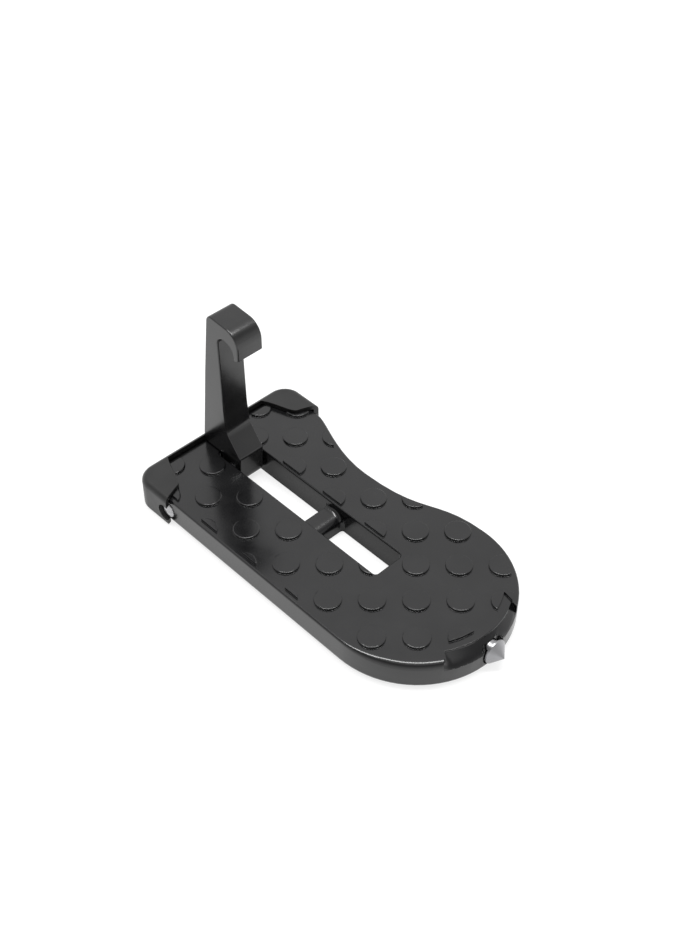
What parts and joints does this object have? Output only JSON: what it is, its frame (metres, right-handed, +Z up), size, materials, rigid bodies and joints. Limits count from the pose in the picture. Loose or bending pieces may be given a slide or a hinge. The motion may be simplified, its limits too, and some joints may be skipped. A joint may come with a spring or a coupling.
{
  "type": "car door latch step",
  "caption": "Folding door latch step: an upright steel hook hinged in the slot of a rounded, waisted foot plate with raised grip dots, a rubber rear bumper and a steel glass-breaker point.",
  "frame": {"origin": "on the surface the step rests on, under the middle of its box with the hook upright", "axes": "+X along the plate from the hinge to the glass breaker, +Y across it towards the waisted side, +Z up"},
  "size_m": [0.1644, 0.084, 0.0832],
  "materials": {
    "black_coating": "satin",
    "hook_coating": "satin",
    "pin_steel": "knurled",
    "bumper_rubber": "matte",
    "tip_steel": "turned"
  },
  "bodies": {
    "plate": {"step_plate": "black_coating", "hinge_pin": "pin_steel", "rear_bumper": "bumper_rubber", "breaker_tip": "tip_steel"},
    "hook": {"hook": "hook_coating"}
  },
  "joints": [
    {"name": "hook_fold", "type": "hinge", "parent": "plate", "child": "hook", "pos_m": [-0.06285, 0, 0.006], "axis": [0, 1, 0], "range_deg": [0, 90]}
  ]
}
